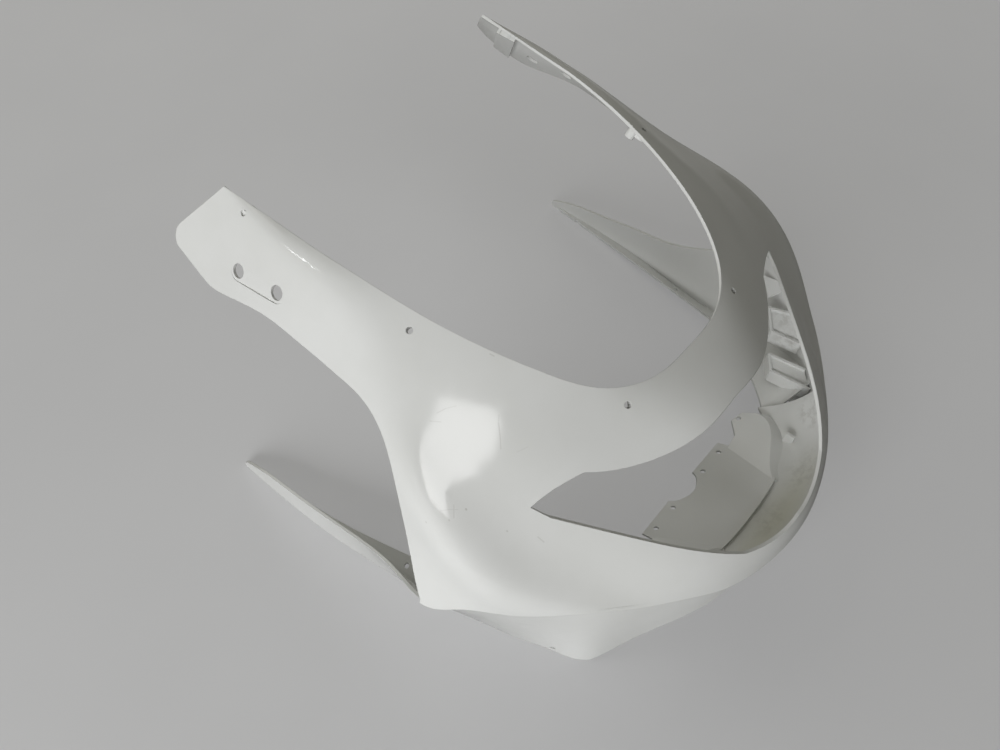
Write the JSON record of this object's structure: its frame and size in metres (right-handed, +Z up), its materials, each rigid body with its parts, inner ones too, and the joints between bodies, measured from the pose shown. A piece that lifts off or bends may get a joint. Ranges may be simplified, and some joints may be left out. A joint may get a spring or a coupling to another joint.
{
  "type": "motorcycle nose fairing",
  "caption": "White moulded upper nose fairing of a sport motorcycle: swept skin with screen rim, headlight opening, mirror arms, tray and rear wings.",
  "frame": {"origin": "on the floor, under the middle of the part's bounding box", "axes": "+X to the far side across the machine, nose toward -Y, +Z up"},
  "size_m": [0.5622, 0.5716, 0.3167],
  "materials": {
    "white_abs": "unpainted white ABS as moulded, soft gloss"
  },
  "bodies": {
    "root": {"nose_fairing": "white_abs"}
  },
  "joints": []
}
